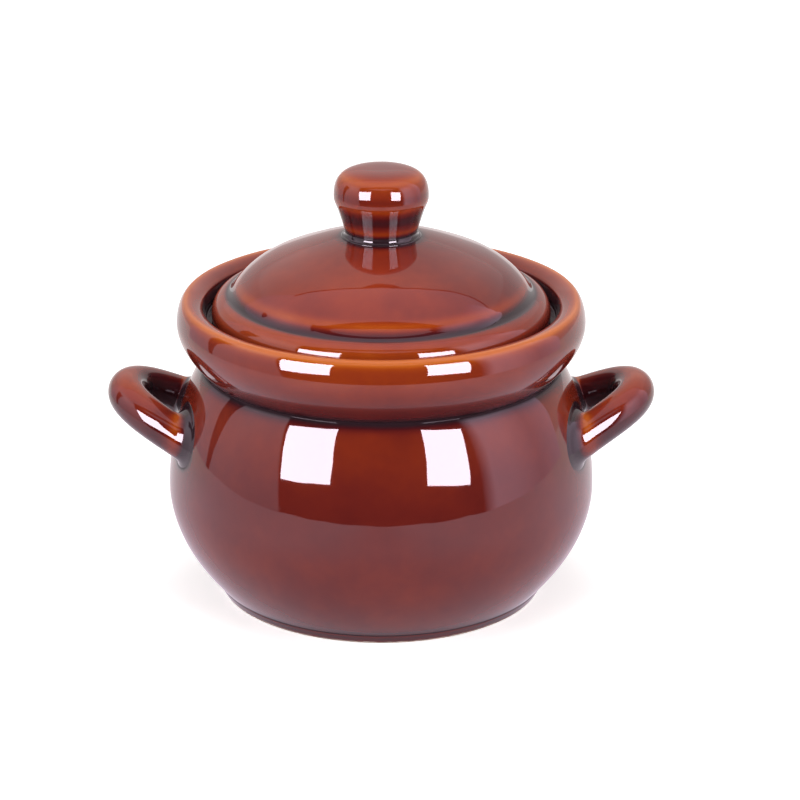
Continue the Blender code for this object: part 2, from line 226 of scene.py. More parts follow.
class GlazeLook(bpy.types.PropertyGroup):
    """One clear brown glaze, which shows the clay where it runs thin and darkens where it pools."""
    pooled: color("Pooled", (0.030, 0.014, 0.019), "Glaze that pooled in a crease")
    dark: color("Dark", (0.075, 0.0090, 0.0115), "Thick glaze beside a crease")
    deep: color("Deep", (0.158, 0.0170, 0.0120), "Glaze of even thickness")
    russet: color("Russet", (0.260, 0.0300, 0.0110), "Thinner glaze over a gentle round")
    amber: color("Amber", (0.360, 0.0520, 0.0070), "Thin glaze over an edge")
    honey: color("Honey", (0.560, 0.1300, 0.0180), "The thinnest glaze, on a crest")
    clay: color("Clay", (0.640, 0.520, 0.440), "Bare fired clay")
    clay_roughness: amount("Clay roughness", 0.85, "Roughness of the bare clay")
    gloss: amount("Gloss roughness", 0.03, "Roughness of the glaze's surface")
    refraction: amount("Refraction", 1.5, "Refractive index of the glaze")
    cloud_size: length("Cloud size", 24.0, "Size of the clouds in the colour")
    spread: length("Spread", 2.2, "How far the running glaze evens out an edge")
    edge_share: amount("Edge share", 0.3, "How strongly rounds and creases change the glaze")
    wave_size: length("Wave size", 26.0, "Length of the waves left by the maker's hands")
    wave_height: length("Wave height", 0.16, "Height of the waves left by the maker's hands")
    clay_line: length("Clay line", 0.9, "Height up to which the foot is wiped clean of glaze")


class StudioLook(bpy.types.PropertyGroup):
    """Camera, table and lights."""
    camera_distance: length("Camera distance", 1150.0, "Level distance from the pot's axis to the camera")
    camera_height: length("Camera height", 509.08, "Height of the camera over the table")
    camera_tilt: angle("Camera tilt", 20.405, "How far the camera looks down")
    lens: amount("Focal length", 130.09, "Focal length in millimetres on a 36 mm sensor")
    lens_shift: amount("Lens shift", 0.0235, "How far the picture is shifted, as a share of its width")
    softbox_light: amount("Softbox strength", 26.0, "Brightness of the softboxes in the glaze")
    table_edge: length("Table edge", 680.0, "Distance from the axis to the lit table's front edge")
    room_edge: length("Room edge", 930.0, "Distance from the axis to the dark front of the room")
    ceiling: length("Ceiling height", 1200.0, "Height of the white ceiling over the table")
    room_light: amount("Room light", 0.28, "Even light from all round on the glaze's colour")
    room_mirrored: amount("Room in the glaze", 0.75, "Brightness of the room's walls in the glaze")


class CasseroleSettings(bpy.types.PropertyGroup):
    """Everything that can be changed, in one place."""
    pot: PointerProperty(type=PotSizes)
    lid: PointerProperty(type=LidSizes)
    knob: PointerProperty(type=KnobSizes)
    ear: PointerProperty(type=EarSizes)
    glaze: PointerProperty(type=GlazeLook)
    studio: PointerProperty(type=StudioLook)


# Curves of the sections

def away(point, direction, distance):
    """The point that lies a distance from another, along an angle in the section's plane."""
    return (point[0] + math.cos(direction) * distance, point[1] + math.sin(direction) * distance)


def bezier(start, start_handle, end_handle, end, steps):
    """Points of a cubic curve, without its first point, so that stretches can follow each other."""
    points = []
    for step in range(1, steps + 1):
        t = step / steps
        weights = ((1 - t) ** 3, 3 * t * (1 - t) ** 2, 3 * t * t * (1 - t), t ** 3)
        corners = (start, start_handle, end_handle, end)
        points.append(tuple(sum(w * c[axis] for w, c in zip(weights, corners))
                            for axis in range(len(start))))
    return points


def straight(start, end, steps):
    """Points of a straight stretch, without its first point."""
    return bezier(start, tuple((2 * s + e) / 3 for s, e in zip(start, end)),
                  tuple((s + 2 * e) / 3 for s, e in zip(start, end)), end, steps)


def rounded(corner, before, after, size, steps):
    """A small round over a corner between two neighbours of the section."""
    run_in = Vector(corner) - Vector(before)
    run_out = Vector(after) - Vector(corner)
    start = Vector(corner) - run_in.normalized() * size
    end = Vector(corner) + run_out.normalized() * size
    return [tuple(start)] + bezier(tuple(start), corner, corner, tuple(end), steps)


def neck(pot):
    """The corner of the neck crease, and the places where its round starts and ends."""
    crease = (pot.belly_radius - pot.neck_inset, pot.neck_height)
    start = away(crease, pot.neck_in_angle, -pot.neck_fillet)
    return crease, start, away(crease, pot.neck_out_angle, pot.neck_fillet)


def gallery(pot):
    """The radii of the throat and of the ledge's corner, and the gallery's upper edge."""
    throat_radius = pot.belly_radius - pot.neck_inset - pot.neck_wall
    radius = throat_radius + pot.ledge_width
    return throat_radius, radius, (radius + pot.gallery_draft, pot.collar_top - pot.gallery_top)


def outer_belly(pot):
    """The outside from the foot band to the neck crease."""
    start = (pot.foot_radius + pot.band_flare + pot.band_dent, pot.band_height + 2 * pot.band_dent)
    widest = (pot.belly_radius, pot.belly_height)
    _, neck_start, _ = neck(pot)
    points = [start]
    points += bezier(start, away(start, pot.belly_angle, BELLY_START_REACH),
                     (widest[0], widest[1] - BELLY_LOWER_REACH), widest, 46)
    points += bezier(widest, (widest[0], widest[1] + BELLY_UPPER_REACH),
                     away(neck_start, pot.neck_in_angle, -SHOULDER_REACH), neck_start, 42)
    return points


def collar(pot):
    """The outside from the neck crease, over the rolled collar, to the gallery's edge."""
    crease, neck_start, neck_end = neck(pot)
    widest = (crease[0] + pot.collar_overhang, crease[1] + pot.collar_widest)
    crest = (widest[0] - pot.crest_inset, pot.collar_top)
    _, _, edge = gallery(pot)
    points = bezier(neck_start, crease, crease, neck_end, 9)
    points += bezier(neck_end, away(neck_end, pot.neck_out_angle, COLLAR_START_REACH),
                     (widest[0], widest[1] - COLLAR_LOWER_REACH), widest, 28)
    points += bezier(widest, (widest[0], widest[1] + COLLAR_UPPER_REACH),
                     (crest[0] + CREST_OUTER_REACH, crest[1]), crest, 18)
    points += bezier(crest, (crest[0] - CREST_INNER_REACH, crest[1]),
                     (edge[0], edge[1] + pot.gallery_top / 2), edge, 12)
    return points


def inside(pot):
    """The inside from the gallery's edge, down the ledge and the throat, to the middle of the floor."""
    throat_radius, gallery_radius, edge = gallery(pot)
    ledge_top = pot.collar_top - pot.ledge_depth
    corner = (gallery_radius, ledge_top)
    lip = (throat_radius, ledge_top)
    throat_end = (throat_radius, ledge_top - pot.throat_height)
    widest = (pot.belly_radius - pot.wall, pot.belly_height)
    floor_top = pot.foot_recess + pot.floor_thickness
    floor_edge = (pot.floor_flat_radius, floor_top)
    points = straight(edge, away(corner, math.pi / 2, 2 * pot.ledge_fillet), 6)
    points += rounded(corner, edge, lip, pot.ledge_fillet, 5)
    points += rounded(lip, corner, throat_end, pot.ledge_fillet, 5)
    points += straight(points[-1], throat_end, 6)
    points += bezier(throat_end, (throat_radius, throat_end[1] - THROAT_REACH),
                     (widest[0], widest[1] + BELLY_UPPER_REACH), widest, 24)
    points += bezier(widest, (widest[0], widest[1] - BELLY_LOWER_REACH),
                     (floor_edge[0] + FLOOR_CORNER_REACH, floor_top), floor_edge, 26)
    points += straight(floor_edge, (0.0, floor_top), 14)
    return points


def body_section(pot):
    """The pot's whole section, from the middle of its underside to the middle of its floor."""
    ring_inner = pot.foot_radius - pot.foot_ring_width
    recess_middle = (0.0, pot.foot_recess)
    recess_edge = (ring_inner - 2 * pot.foot_recess, pot.foot_recess)
    recess_round, recess_slope, band_round = 2 * MM, -0.5, 0.7 * MM
    inner_foot = (ring_inner, 0.0)
    outer_foot = (pot.foot_radius, 0.0)
    band_top = (pot.foot_radius + pot.band_flare, pot.band_height)
    band_slope = math.atan2(pot.band_height, pot.band_flare)
    dent = (band_top[0] - pot.band_dent, band_top[1] + pot.band_dent)
    belly = outer_belly(pot)
    points = [recess_middle] + straight(recess_middle, away(recess_edge, math.pi, recess_round), 12)
    points += bezier(points[-1], recess_edge, recess_edge, away(recess_edge, recess_slope, recess_round), 5)
    points += rounded(inner_foot, recess_edge, outer_foot, pot.foot_edge, 5)
    points += straight(points[-1], away(outer_foot, math.pi, pot.foot_edge), 4)
    points += rounded(outer_foot, inner_foot, band_top, pot.foot_edge, 6)[1:]
    points += straight(points[-1], away(band_top, band_slope, -band_round), 5)
    points += bezier(points[-1], band_top, dent, belly[0], 6)
    return points + belly[1:] + collar(pot) + inside(pot)


def dome(lid, inset, steps):
    """The lid's dome from the groove to the crown, or the surface a wall's thickness inside it."""
    base = (lid.flange_radius - lid.dome_inset, lid.flange_bottom + lid.flange_height + lid.dome_step)
    shrink = 1 - inset / base[0]
    start = away(base, lid.dome_angle - math.pi / 2, -inset)
    shoulder = away((base[0] - lid.shoulder_inset, base[1] + lid.shoulder_rise),
                    lid.shoulder_angle - math.pi / 2, -inset)
    crown = (0.0, lid.dome_top - inset)
    side = bezier(start, away(start, lid.dome_angle, DOME_START_REACH * shrink),
                  away(shoulder, lid.shoulder_angle, -DOME_SIDE_REACH * shrink), shoulder, steps // 2)
    top = bezier(shoulder, away(shoulder, lid.shoulder_angle, DOME_UPPER_REACH * shrink),
                 (DOME_CROWN_REACH * shrink, crown[1]), crown, steps - steps // 2)
    return [start] + side + top


def lid_section(lid):
    """The lid's section, from the crown's underside round the flange to the crown."""
    inner = dome(lid, lid.wall, 34)
    seat_inner = lid.flange_radius - lid.flange_edge - lid.seat_width
    bottom = lid.flange_bottom
    face = (lid.flange_radius, bottom + lid.flange_face)
    top = (lid.flange_radius - lid.flange_top, bottom + lid.flange_height)
    outer = dome(lid, 0.0, 62)
    above = [point for point in outer if outer[0][0] - point[0] > lid.groove_fill]
    slope = math.atan2(above[0][1] - above[1][1], above[0][0] - above[1][0])
    points = inner[::-1]
    points += bezier(inner[0], away(inner[0], lid.dome_angle, -lid.flange_height / 3),
                     (seat_inner, bottom + lid.flange_height / 3), (seat_inner, bottom + lid.flange_edge), 10)
    points += bezier(points[-1], (seat_inner, bottom), (seat_inner, bottom),
                     (seat_inner + lid.flange_edge, bottom), 5)
    points += straight(points[-1], (lid.flange_radius - lid.flange_edge, bottom), 5)
    points += bezier(points[-1], (lid.flange_radius, bottom),
                     (lid.flange_radius, bottom + lid.flange_edge / 2), face, 8)
    points += bezier(face, (lid.flange_radius, face[1] + FLANGE_ROLL_REACH),
                     away(top, lid.flange_slope, -FLANGE_TOP_REACH), top, 40)
    points += bezier(top, away(top, lid.flange_slope, GROOVE_OUTER_REACH),
                     away(above[0], slope, GROOVE_INNER_REACH), above[0], 16)
    return points + above[1:]


def height_at(radius, points):
    """The height at a radius of a section that runs inwards."""
    for outer, inner in zip(points, points[1:]):
        if inner[0] <= radius <= outer[0]:
            share = (outer[0] - radius) / (outer[0] - inner[0])
            return outer[1] + (inner[1] - outer[1]) * share
    return points[-1][1]


def knob_section(knob, lid):
    """The knob's section, from the middle of its seat on the dome to the middle of its cap."""
    surface = dome(lid, 0.0, 62)
    foot_radius = knob.stem_radius + knob.foot_flare
    foot = (foot_radius, height_at(foot_radius, surface) - knob.foot_sunk)
    slope = math.atan2(height_at(foot_radius - MM, surface) - height_at(foot_radius, surface), -MM)
    stem_base = (knob.stem_radius, lid.dome_top + knob.foot_height)
    stem_top = (knob.stem_radius + knob.stem_taper, stem_base[1] + knob.stem_height)
    widest = (knob.cap_radius, stem_top[1] + knob.undercut)
    taper = math.atan2(knob.stem_height, knob.stem_taper)
    points = [(r, z + knob.seat_gap / 2) for r, z in reversed(surface) if r < foot_radius - MM / 2]
    points.append(foot)
    points += bezier(foot, away(foot, slope, KNOB_FOOT_REACH), away(stem_base, taper, -KNOB_FOOT_REACH),
                     stem_base, 14)
    points += bezier(stem_base, away(stem_base, taper, knob.stem_height / 3),
                     away(stem_top, taper, -knob.stem_height / 3), stem_top, 12)
    points += bezier(stem_top, away(stem_top, taper, knob.undercut / 2),
                     (knob.cap_radius, widest[1] - knob.undercut / 3), widest, 14)
    points += bezier(widest, (knob.cap_radius, widest[1] + CAP_SIDE_REACH), (CAP_TOP_REACH, knob.cap_top),
                     (0.0, knob.cap_top), 44)
    return points


# Meshes

def new_piece(name, bm, material):
    """Turn a bmesh into a smooth-shaded object with one material."""
    bmesh.ops.recalc_face_normals(bm, faces=bm.faces)
    mesh = bpy.data.meshes.new(name)
    bm.to_mesh(mesh)
    bm.free()
    mesh.shade_smooth()
    mesh.materials.append(material)
    piece = bpy.data.objects.new(name, mesh)
    bpy.context.scene.collection.objects.link(piece)
    return piece


def turned(section, steps):
    """A solid of revolution about z from a section that starts and ends on the axis."""
    bm = bmesh.new()
    verts = [bm.verts.new((r, 0.0, z)) for r, z in section]
    edges = [bm.edges.new(pair) for pair in zip(verts, verts[1:])]
    bmesh.ops.spin(bm, geom=verts + edges, cent=(0, 0, 0), axis=(0, 0, 1), angle=math.tau, steps=steps,
                   use_merge=True, use_duplicate=False)
    bmesh.ops.remove_doubles(bm, verts=bm.verts, dist=1e-6)
    return bm


def make_waves(mesh, size, height):
    """Press faint hand-made waves into a surface, only inwards so that no size grows."""
    normals = np.empty(len(mesh.vertices) * 3)
    mesh.vertex_normals.foreach_get("vector", normals)
    for vert, normal in zip(mesh.vertices, normals.reshape(-1, 3)):
        wave = 0.5 + 0.5 * noise.noise(vert.co / size)
        ripple = 0.5 + 0.5 * noise.noise(vert.co * 2.7 / size)
        place = vert.co - Vector(normal) * height * (wave + ripple / 6)
        vert.co = (place.x, place.y, max(place.z, 0.0))


def paint_run(mesh, look, even, bands, change=None):
    """Store how the glaze ran on a turned piece, with any painted shade a band adds: -2 where it pooled, 0
    where it is even, 2 where thinnest.

    The surface's curvature makes it thin over a round and thick in a crease. Each band adds to that round a
    place of the section, as radius, height, reach in mm, amount and how much more of it lies at the sides.
    """
    shortest_edge, round_of_one, cut_off = 0.05 * MM, 100.0, 4.0
    total = len(mesh.vertices)
    places = np.empty(total * 3)
    normals = np.empty(total * 3)
    ends = np.empty(len(mesh.edges) * 2, np.int64)
    mesh.vertices.foreach_get("co", places)
    mesh.vertex_normals.foreach_get("vector", normals)
    mesh.edges.foreach_get("vertices", ends)
    places = places.reshape(-1, 3)
    normals = normals.reshape(-1, 3)
    first, second = ends.reshape(-1, 2).T
    along = places[second] - places[first]
    reach = np.maximum(np.linalg.norm(along, axis=1), shortest_edge)
    bend = ((normals[second] - normals[first]) * along).sum(axis=1) / reach ** 2
    both = np.concatenate((first, second))
    other = np.concatenate((second, first))
    share = np.bincount(both, minlength=total)
    run = 2 * np.bincount(both, np.concatenate((bend, bend)), total) / share / round_of_one
    run = np.clip(run, -cut_off, cut_off)
    step = np.median(reach)
    weight = np.exp(-np.concatenate((reach, reach)) / step)
    weights = np.bincount(both, weight, total)
    for _ in range(max(1, round((look.spread / step) ** 2))):
        run = 0.4 * run + 0.6 * np.bincount(both, weight * run[other], total) / weights
    run = even + look.edge_share * np.clip(run, -3.0, 3.0)
    radius = np.hypot(places[:, 0], places[:, 1])
    aside = (places[:, 0] ** 2 - places[:, 1] ** 2) / np.maximum(radius, MM) ** 2
    for band_radius, height, band_reach, strength, lean in bands:
        gap = np.hypot(radius - band_radius * MM, places[:, 2] - height * MM) / (band_reach * MM)
        run += strength * (1 + lean * aside) * np.exp(-gap ** 2)
    if change:
        run = change(places, run)
    store_run(mesh, run)


def store_run(mesh, run):
    """Keep the glaze's run, with the painted light and shade in it, as the piece's own attribute."""
    layer = mesh.attributes.new(RUN_AND_SHADE, "FLOAT", "POINT")
    layer.data.foreach_set("value", np.asarray(run, np.float32))


# Ear handles

def belly_distance(places, outline):
    """How far points lie outside the pot's wall, and the wall's outward directions there."""
    radius = np.hypot(places[:, 0], places[:, 1])
    low = np.array(outline[:-1])
    run = np.array(outline[1:]) - low
    gap = np.stack((radius, places[:, 2]), axis=1)[:, None, :] - low[None]
    share = np.clip((gap * run).sum(axis=2) / (run ** 2).sum(axis=1), 0.0, 1.0)
    off = gap - run * share[..., None]
    size = np.linalg.norm(off, axis=2)
    best = size.argmin(axis=1)
    pick = np.arange(len(places))
    out = np.stack((run[best, 1], -run[best, 0]), axis=1)
    out /= np.linalg.norm(out, axis=1)[:, None]
    sign = np.sign((off[pick, best] * out).sum(axis=1))
    around = places[:, :2] / radius[:, None]
    return sign * size[pick, best], np.column_stack((around * out[:, :1], out[:, 1]))


def ear_root(pot, ear, turn_in):
    """Where a leg's middle leaves the shoulder on the side of negative y, and the leg's direction."""
    outline = outer_belly(pot)
    surface = next(low[0] + (high[0] - low[0]) * (ear.height - low[1]) / (high[1] - low[1])
                   for low, high in zip(outline, outline[1:]) if low[1] <= ear.height <= high[1])
    root = Vector((math.sqrt(surface ** 2 - (ear.span / 2) ** 2), -ear.span / 2, ear.height))
    leg = Vector((math.cos(ear.climb) * math.cos(turn_in), math.cos(ear.climb) * math.sin(turn_in),
                  math.sin(ear.climb)))
    return root, leg, surface


def ear_centre(pot, ear, turn_in):
    """The centre line of half an ear, from its root to the middle of its bow."""
    root, leg, surface = ear_root(pot, ear, turn_in)
    bow = (surface + ear.reach, 0.0, ear.height + ear.rise)
    fine = bezier(tuple(root), tuple(root + leg * ear.leg_reach), (bow[0], -ear.bow_reach, bow[2]),
                  bow, 4 * ear.rings)
    return [root] + [Vector(point) for point in fine]


def conform(places, leg, depth, outline):
    """Slide points along the leg until they lie at a depth outside the wall."""
    for _ in range(4):
        distance, out = belly_distance(places, outline)
        places = places + leg * ((depth - distance) / np.maximum(out @ leg, 0.3))[:, None]
    return places


def ear_rings(pot, ear, turn_in):
    """The rings of half an ear: first laid to the shoulder with a hollow round, then square to the line.

    Each ring comes with the glaze's run, pooled at the joint and thin beside it, and with painted light and
    shade: lighter on top of a leg, darker under it, and darker inside the ear, where pooled glaze and painted
    shade add up.
    """
    outline = [point for point in outer_belly(pot) if point[1] > pot.belly_height / 2]
    line = ear_centre(pot, ear, turn_in)
    root, leg, _ = ear_root(pot, ear, turn_in)
    hole = (root + line[-1]) / 2
    hole.y = 0.0
    clear, laid_rings = 11.0 * MM, 30
    travelled = [0.0]
    for before, after in zip(line, line[1:]):
        travelled.append(travelled[-1] + (after - before).length)
    depths = [-ear.sunk + (clear + ear.sunk) * (step / laid_rings) ** 1.6 for step in range(laid_rings + 1)]
    stations = [max(depth, 0.0) for depth in depths]
    stations += [clear + (travelled[-1] - clear) * step / ear.rings for step in range(1, ear.rings + 1)]
    turns = np.arange(ear.segments) * math.tau / ear.segments
    rings = []
    for index, station in enumerate(stations):
        at = min(max(int(np.searchsorted(travelled, station)), 1), len(line) - 1)
        share = (station - travelled[at - 1]) / (travelled[at] - travelled[at - 1])
        here = line[at - 1].lerp(line[at], share)
        tangent = (line[at] - line[at - 1]).normalized()
        if index == len(stations) - 1:
            tangent = Vector((0.0, 1.0, 0.0))
        across = tangent.cross(Vector((0.0, 0.0, 1.0))).normalized()
        up = across.cross(tangent)
        sides = np.outer(np.cos(turns), across) + np.outer(np.sin(turns), up)
        outward = (here - hole).normalized()
        inner = np.clip(-sides @ np.array(outward), 0.0, 1.0)
        crotch, above = np.clip(sides[:, 1:].T, 0.0, 1.0)
        below = np.clip(-sides[:, 2], 0.0, 1.0)
        depth = depths[index] if index < len(depths) else station
        fillet = (ear.fillet + (ear.crotch_fillet - ear.fillet) * crotch ** 1.5
                  + (ear.top_fillet - ear.fillet) * above ** 1.5 + (ear.low_fillet - ear.fillet) * below)
        lack = np.clip(fillet - max(depth, 0.0), 0.0, fillet)
        skirt = fillet - np.sqrt(fillet ** 2 - lack ** 2) + max(-depth, 0.0)
        swell = ear.flare * math.exp(-station / ear.flare_length)
        places = np.array(here) + sides * (ear.thickness / 2 + swell + skirt)[:, None]
        if depth < clear:
            laid = conform(places, np.array(leg), depth, outline)
            blend = max(depth / clear, 0.0)
            blend = blend * blend * (3 - 2 * blend)
            places = laid * (1 - blend) + places * blend
        # the pool reaches further inside the ear and on top of a leg
        pool = (1.9 + 2.2 * inner + 1.2 * above) * MM
        joint = np.exp(-(max(depth, 0.0) / pool) ** 3)
        thin = np.exp(-((depth - pool - 2.0 * MM) / (2.4 * MM)) ** 2) * (1 - inner)
        # painted light and shade: the run is raised on top of a leg and lowered under it and inside the ear,
        # so the top shows lighter and the underside and inside darker
        run = -0.7 + 1.2 * above * (1 - inner) - 0.6 * below - 0.9 * inner + 1.2 * thin - 2.2 * joint
        rings.append((places, run))
    return rings


def make_ear(name, rings, segments, side, material):
    """A whole ear as rings bridged along its line, mirrored to its side of the pot."""
    back = [(places * (1, -1, 1), run) for places, run in reversed(rings[:-1])]
    bm = bmesh.new()
    loops = []
    for places, _ in rings + back:
        made = bmesh.ops.create_circle(bm, segments=segments, radius=MM)["verts"]
        for vert, place in zip(made, places * (side, 1, 1)):
            vert.co = place
        loops.append(list({edge for vert in made for edge in vert.link_edges}))
    for lower, upper in zip(loops, loops[1:]):
        bmesh.ops.bridge_loops(bm, edges=lower + upper)
    bmesh.ops.holes_fill(bm, edges=loops[0] + loops[-1], sides=0)
    piece = new_piece(name, bm, material)
    store_run(piece.data, np.concatenate([run for _, run in rings + back]))
    return piece


def glaze_round_ears(pot, ear):
    """A change of the glaze's run on the body: pooled in the crease round each leg."""
    root, leg, _ = ear_root(pot, ear, (ear.turn_in + ear.right_turn_in) / 2)
    outline = np.array(outer_belly(pot))
    strength, reach = 2.2, 1.5 * MM

    def change(places, run):
        mirrored = np.abs(places) * (1, -1, 1)
        gap = mirrored - np.array(root)
        gap -= np.outer(gap @ np.array(leg), np.array(leg))
        beside = np.linalg.norm(gap, axis=1) - (ear.thickness / 2 + ear.flare + ear.low_fillet)
        wall_middle = np.interp(places[:, 2], outline[:, 1], outline[:, 0]) - pot.wall / 2
        outer = np.hypot(places[:, 0], places[:, 1]) > wall_middle
        near = outer & (places[:, 2] < pot.neck_height)
        return run - near * strength * np.exp(-np.maximum(beside, 0.0) ** 2 / reach ** 2)

    return change


def thicken_on_the_right(places, run):
    """A change of the glaze's run on the lid: thicker towards the right, but not at the very front."""
    strength, width, front = 0.35, 60 * MM, -75 * MM
    return run - strength * np.clip(places[:, 0] / width, 0.0, 1.0) * (places[:, 1] > front)


# Finish

def add_node(tree, kind, place, **inputs):
    """A node with its inputs set by name."""
    made = tree.nodes.new(kind)
    made.location = place
    for name, value in inputs.items():
        made.inputs[name.replace("_", " ")].default_value = value
    return made


def math_node(tree, operation, place, *values, clamp=False):
    """A math node between links and numbers."""
    made = add_node(tree, "ShaderNodeMath", place)
    made.operation = operation
    made.use_clamp = clamp
    for socket, value in zip(made.inputs, values):
        if isinstance(value, (int, float)):
            socket.default_value = value
        else:
            tree.links.new(value, socket)
    return made.outputs[0]


def map_range(tree, place, value, low, high, to_low, to_high):
    """A link's value, moved evenly from one range to another and kept inside it."""
    made = add_node(tree, "ShaderNodeMapRange", place, From_Min=low, From_Max=high,
                    To_Min=to_low, To_Max=to_high)
    tree.links.new(value, made.inputs["Value"])
    return made.outputs[0]


def mix_colors(tree, place, factor, first, second):
    """A mix of two colours, each a link or three numbers."""
    made = add_node(tree, "ShaderNodeMix", place)
    made.data_type = "RGBA"
    tree.links.new(factor, made.inputs["Factor"])
    for name, shade in (("A", first), ("B", second)):
        if isinstance(shade, tuple):
            made.inputs[name].default_value = (*shade, 1.0)
        else:
            tree.links.new(shade, made.inputs[name])
    return made.outputs["Result"]


def named_attribute(tree, place, name):
    """The value of a piece's own attribute."""
    made = add_node(tree, "ShaderNodeAttribute", place)
    made.attribute_name = name
    return made.outputs["Fac"]


def split_place(tree, coords, place):
    """The x, y and z of a place on the object."""
    made = add_node(tree, "ShaderNodeSeparateXYZ", place)
    tree.links.new(coords, made.inputs[0])
    return made.outputs


def noise_texture(tree, coords, height, scale, detail, roughness):
    """A noise over the object."""
    made = add_node(tree, "ShaderNodeTexNoise", (-1300, height), Scale=scale, Detail=detail,
                    Roughness=roughness)
    tree.links.new(coords, made.inputs["Vector"])
    return made.outputs["Fac"]


def new_material(name):
    """A material and its node tree."""
    material = bpy.data.materials.new(name)
    material.use_nodes = True
    return material, material.node_tree


def glaze_ramp(tree, look, place):
    """The glaze's colour over its run, from pooled to the thinnest."""
    ramp = add_node(tree, "ShaderNodeValToRGB", place)
    stops = ((0.0, look.pooled), (0.12, look.pooled), (0.33, look.dark), (0.50, look.deep),
             (0.62, look.russet), (0.75, look.amber), (0.95, look.honey))
    while len(ramp.color_ramp.elements) < len(stops):
        ramp.color_ramp.elements.new(1.0)
    for element, (position, shade) in zip(ramp.color_ramp.elements, stops):
        element.position = position
        element.color = (*shade, 1.0)
    return ramp


def glaze(name, look, clouds, clay_line=0.0, recess=0.0, ring=0.0):
    """Clear brown glaze whose colour follows its run, with clouds, a fine skin and a bare foot."""
    material, tree = new_material(name)
    shader = tree.nodes["Principled BSDF"]
    shader.inputs["IOR"].default_value = look.refraction
    coords = add_node(tree, "ShaderNodeTexCoord", (-1500, 0)).outputs["Object"]
    cloud = noise_texture(tree, coords, 0, 1 / look.cloud_size, 3.0, 0.55)
    streak = noise_texture(tree, coords, -250, 5 / look.cloud_size, 2.0, 0.5)
    skin = noise_texture(tree, coords, -500, 2.2 / look.cloud_size, 1.0, 0.4)
    drift = math_node(tree, "MULTIPLY_ADD", (-1100, 0), cloud, clouds, -clouds / 2)
    fleck = math_node(tree, "MULTIPLY_ADD", (-1100, -250), streak, clouds * 0.2, -clouds * 0.1)
    summed = math_node(tree, "ADD", (-900, 200), named_attribute(tree, (-1300, 300), RUN_AND_SHADE), drift)
    summed = math_node(tree, "ADD", (-750, 200), summed, fleck)
    # a run of -2 is the ramp's start and 2 its end
    position = math_node(tree, "MULTIPLY_ADD", (-600, 200), summed, 0.25, 0.5, clamp=True)
    ramp = glaze_ramp(tree, look, (-420, 200))
    tree.links.new(position, ramp.inputs["Fac"])
    shade = ramp.outputs["Color"]
    bump = add_node(tree, "ShaderNodeBump", (-250, -400), Strength=0.35, Distance=0.1 * MM)
    tree.links.new(skin, bump.inputs["Height"])
    tree.links.new(bump.outputs["Normal"], shader.inputs["Normal"])
    if clay_line:
        bare = bare_clay(tree, coords, streak, clay_line, recess, ring)
        shade = mix_colors(tree, (-120, 200), bare, shade, tuple(look.clay))
        rougher = look.clay_roughness - look.gloss
        rough = math_node(tree, "MULTIPLY_ADD", (-120, -100), bare, rougher, look.gloss)
        tree.links.new(rough, shader.inputs["Roughness"])
        # painted shade: on the body the glaze's mirroring is turned down where the glaze pooled, under the
        # collar, in the gallery and round the ears' joints, so that these creases show dark as if shaded
        mirror = math_node(tree, "MULTIPLY_ADD", (-420, -50), position, 1.8, 0.05)
        mirror = math_node(tree, "MINIMUM", (-250, -50), mirror, 0.5)
        tree.links.new(mirror, shader.inputs["Specular IOR Level"])
    else:
        shader.inputs["Roughness"].default_value = look.gloss
    tree.links.new(shade, shader.inputs["Base Color"])
    return material


def bare_clay(tree, coords, uneven, line, recess, ring):
    """1 where the foot is wiped clean: below an uneven line outside, and everywhere inside the ring."""
    blur = 0.15 * MM
    split = split_place(tree, coords, (-1100, 600))
    across = math_node(tree, "POWER", (-900, 700), split["X"], 2.0)
    deep = math_node(tree, "POWER", (-900, 560), split["Y"], 2.0)
    radius = math_node(tree, "POWER", (-600, 620), math_node(tree, "ADD", (-750, 620), across, deep), 0.5)
    under = math_node(tree, "LESS_THAN", (-450, 620), radius, ring)
    allowed = math_node(tree, "MULTIPLY_ADD", (-300, 620), under, recess, line)
    wobble = math_node(tree, "MULTIPLY_ADD", (-450, 800), uneven, line, -line / 2)
    limit = math_node(tree, "ADD", (-150, 700), allowed, wobble)
    below = math_node(tree, "SUBTRACT", (0, 700), limit, split["Z"])
    return math_node(tree, "MULTIPLY", (150, 700), below, 1 / blur, clamp=True)


# Studio

def arc_card(name, radii, *edges, tint=ROOM_TINT):
    """A curved card round the pot that only the glaze's reflections show, with radii at its foot and top.

    Each of its upright edges has a turn and a height at its foot, the same at its top, and a brightness at
    its foot and at its top. Between two edges they all change evenly. Turns are in degrees, left is below 0.
    """
    bm = bmesh.new()
    glow = bm.verts.layers.float.new("glow")
    columns = []
    widest_strip = 1.5
    for left, right in zip(edges, edges[1:]):
        steps = max(1, round(abs(right[0] - left[0]) / widest_strip))
        for step in range(steps + 1):
            foot_turn, low, top_turn, high, foot, top = (a + (b - a) * step / steps
                                                         for a, b in zip(left, right))
            pair = []
            for radius, turn, z, shine in ((radii[0], foot_turn, low, foot), (radii[1], top_turn, high, top)):
                turn = math.radians(turn)
                vert = bm.verts.new((math.sin(turn) * radius, -math.cos(turn) * radius, z))
                vert[glow] = shine
                pair.append(vert)
            columns.append(pair)
    for left, right in zip(columns, columns[1:]):
        bmesh.ops.contextual_create(bm, geom=left + right)
    bmesh.ops.remove_doubles(bm, verts=bm.verts, dist=1e-6)
    return reflected_only(name, bm, tint)


def level_card(name, size, place, shine, tint=ROOM_TINT):
    """A flat level card that only the glaze's reflections show."""
    bm = bmesh.new()
    glow = bm.verts.layers.float.new("glow")
    bmesh.ops.create_grid(bm, x_segments=1, y_segments=1, size=0.5,
                          matrix=Matrix.Translation(place) @ Matrix.Diagonal((*size, 1.0, 1.0)))
    for vert in bm.verts:
        vert[glow] = shine
    return reflected_only(name, bm, tint)


